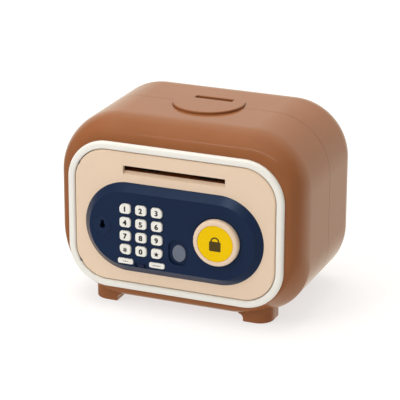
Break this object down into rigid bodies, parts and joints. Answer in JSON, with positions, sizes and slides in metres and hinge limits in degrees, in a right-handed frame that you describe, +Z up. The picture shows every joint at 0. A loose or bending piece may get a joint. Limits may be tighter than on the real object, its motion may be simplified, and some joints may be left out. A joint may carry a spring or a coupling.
{
  "type": "toy safe coin bank",
  "caption": "Toy safe money box with a rounded brown case, hinged cream door, keypad, fingerprint button, round turn knob, key lock, banknote slot in the door and a coin slot on top.",
  "frame": {"origin": "on the surface it stands on, below the middle of the overall width and depth", "axes": "+Z up, -Y out of the door (front), +X to the right as seen from the front"},
  "size_m": [0.185, 0.1324, 0.1418],
  "materials": {
    "brown_plastic": "satin moulded",
    "cream_plastic": "satin moulded",
    "white_plastic": "satin moulded",
    "navy_plastic": "satin moulded",
    "yellow_plastic": "satin moulded",
    "grey_rubber": "matte",
    "dark_rubber": "matte",
    "blue_lens": "clear tinted",
    "black_plastic": "matte moulded",
    "board_green": "coated",
    "steel": "bright",
    "brass_metal": "bright",
    "white_nylon": "matte moulded",
    "cell_wrap": "printed sleeve, left plain"
  },
  "bodies": {
    "case": {"front_shell": "brown_plastic", "rear_shell": "brown_plastic", "shell_screws": "steel", "foot_pads": "dark_rubber", "coin_plate": "brown_plastic", "bezel_ring": "white_plastic", "upper_hinge_pin": "steel", "lower_hinge_pin": "steel"},
    "door": {"door_panel": "cream_plastic", "control_panel": "navy_plastic", "status_window": "blue_lens", "keypad_mat": "dark_rubber", "circuit_board": "board_green", "lock_solenoid": "black_plastic", "note_guide": "brown_plastic", "note_motor": "steel", "speaker": "black_plastic", "inner_cover": "black_plastic", "battery_springs": "steel", "contact_plates": "steel", "cover_screws": "steel", "battery_1": "cell_wrap", "battery_2": "cell_wrap", "battery_3": "cell_wrap"},
    "battery_lid": {"battery_cover": "black_plastic"},
    "knob": {"knob_ring": "cream_plastic", "knob_cap": "yellow_plastic", "knob_shaft": "steel"},
    "bolt": {"latch_bolt": "white_nylon"},
    "plunger": {"solenoid_plunger": "steel"},
    "key_lock": {"lock_barrel": "brass_metal", "lock_cam": "steel"},
    "note_drive": {"roller_gear": "white_nylon", "roller_shaft": "steel", "drive_rollers": "dark_rubber"},
    "note_idler": {"idler_shaft": "steel", "idler_rollers": "dark_rubber"},
    "pinion": {"motor_pinion": "white_nylon"},
    "fingerprint_button": {"fingerprint_pad": "grey_rubber"},
    "key_1_button": {"key_1": "white_plastic"},
    "key_2_button": {"key_2": "white_plastic"},
    "key_3_button": {"key_3": "white_plastic"},
    "key_4_button": {"key_4": "white_plastic"},
    "key_5_button": {"key_5": "white_plastic"},
    "key_6_button": {"key_6": "white_plastic"},
    "key_7_button": {"key_7": "white_plastic"},
    "key_8_button": {"key_8": "white_plastic"},
    "key_9_button": {"key_9": "white_plastic"},
    "key_hash_button": {"key_hash": "white_plastic"},
    "key_0_button": {"key_0": "white_plastic"},
    "key_star_button": {"key_star": "white_plastic"},
    "clear_key_button": {"clear_key": "white_plastic"},
    "enter_key_button": {"enter_key": "white_plastic"}
  },
  "joints": [
    {"name": "door_swing", "type": "hinge", "parent": "case", "child": "door", "pos_m": [-0.0725, -0.0563, 0.07], "axis": [0, 0, -1], "range_deg": [0, 105]},
    {"name": "battery_cover_lift", "type": "slide", "parent": "door", "child": "battery_lid", "axis": [0, 1, 0], "range_m": [0, 0.03]},
    {"name": "knob_turn", "type": "hinge", "parent": "door", "child": "knob", "pos_m": [0.0347, -0.0548, 0.0638], "axis": [0, -1, 0], "range_deg": [0, 60]},
    {"name": "bolt_slide", "type": "slide", "parent": "door", "child": "bolt", "axis": [1, 0, 0], "range_m": [0, 0.00601]},
    {"name": "plunger_drop", "type": "slide", "parent": "door", "child": "plunger", "axis": [0, 0, -1], "range_m": [0, 0.003], "stiffness_N_per_m": 30, "springref_m": -0.002},
    {"name": "key_turn", "type": "hinge", "parent": "door", "child": "key_lock", "pos_m": [-0.053, -0.0548, 0.0635], "axis": [0, -1, 0], "range_deg": [0, 90]},
    {"name": "note_drive_spin", "type": "hinge", "parent": "door", "child": "note_drive", "pos_m": [0, -0.0448, 0.1012], "axis": [1, 0, 0], "continuous": true},
    {"name": "note_idler_spin", "type": "hinge", "parent": "door", "child": "note_idler", "pos_m": [0, -0.0448, 0.1086], "axis": [1, 0, 0], "continuous": true},
    {"name": "pinion_spin", "type": "hinge", "parent": "door", "child": "pinion", "pos_m": [-0.0455, -0.0448, 0.0884], "axis": [1, 0, 0], "continuous": true},
    {"name": "fingerprint_press", "type": "slide", "parent": "door", "child": "fingerprint_button", "axis": [0, 1, 0], "range_m": [0, 0.0005], "stiffness_N_per_m": 400},
    {"name": "key_1_press", "type": "slide", "parent": "door", "child": "key_1_button", "axis": [0, 1, 0], "range_m": [0, 0.001], "stiffness_N_per_m": 300},
    {"name": "key_2_press", "type": "slide", "parent": "door", "child": "key_2_button", "axis": [0, 1, 0], "range_m": [0, 0.001], "stiffness_N_per_m": 300},
    {"name": "key_3_press", "type": "slide", "parent": "door", "child": "key_3_button", "axis": [0, 1, 0], "range_m": [0, 0.001], "stiffness_N_per_m": 300},
    {"name": "key_4_press", "type": "slide", "parent": "door", "child": "key_4_button", "axis": [0, 1, 0], "range_m": [0, 0.001], "stiffness_N_per_m": 300},
    {"name": "key_5_press", "type": "slide", "parent": "door", "child": "key_5_button", "axis": [0, 1, 0], "range_m": [0, 0.001], "stiffness_N_per_m": 300},
    {"name": "key_6_press", "type": "slide", "parent": "door", "child": "key_6_button", "axis": [0, 1, 0], "range_m": [0, 0.001], "stiffness_N_per_m": 300},
    {"name": "key_7_press", "type": "slide", "parent": "door", "child": "key_7_button", "axis": [0, 1, 0], "range_m": [0, 0.001], "stiffness_N_per_m": 300},
    {"name": "key_8_press", "type": "slide", "parent": "door", "child": "key_8_button", "axis": [0, 1, 0], "range_m": [0, 0.001], "stiffness_N_per_m": 300},
    {"name": "key_9_press", "type": "slide", "parent": "door", "child": "key_9_button", "axis": [0, 1, 0], "range_m": [0, 0.001], "stiffness_N_per_m": 300},
    {"name": "key_hash_press", "type": "slide", "parent": "door", "child": "key_hash_button", "axis": [0, 1, 0], "range_m": [0, 0.001], "stiffness_N_per_m": 300},
    {"name": "key_0_press", "type": "slide", "parent": "door", "child": "key_0_button", "axis": [0, 1, 0], "range_m": [0, 0.001], "stiffness_N_per_m": 300},
    {"name": "key_star_press", "type": "slide", "parent": "door", "child": "key_star_button", "axis": [0, 1, 0], "range_m": [0, 0.001], "stiffness_N_per_m": 300},
    {"name": "clear_key_press", "type": "slide", "parent": "door", "child": "clear_key_button", "axis": [0, 1, 0], "range_m": [0, 0.001], "stiffness_N_per_m": 300},
    {"name": "enter_key_press", "type": "slide", "parent": "door", "child": "enter_key_button", "axis": [0, 1, 0], "range_m": [0, 0.001], "stiffness_N_per_m": 300}
  ],
  "couplings": [
    {"joint": "bolt_slide", "follows": "knob_turn", "m_per_rad": 0.0057296},
    {"joint": "note_idler_spin", "follows": "note_drive_spin", "ratio": -1.6071},
    {"joint": "pinion_spin", "follows": "note_drive_spin", "ratio": -1.6667}
  ]
}
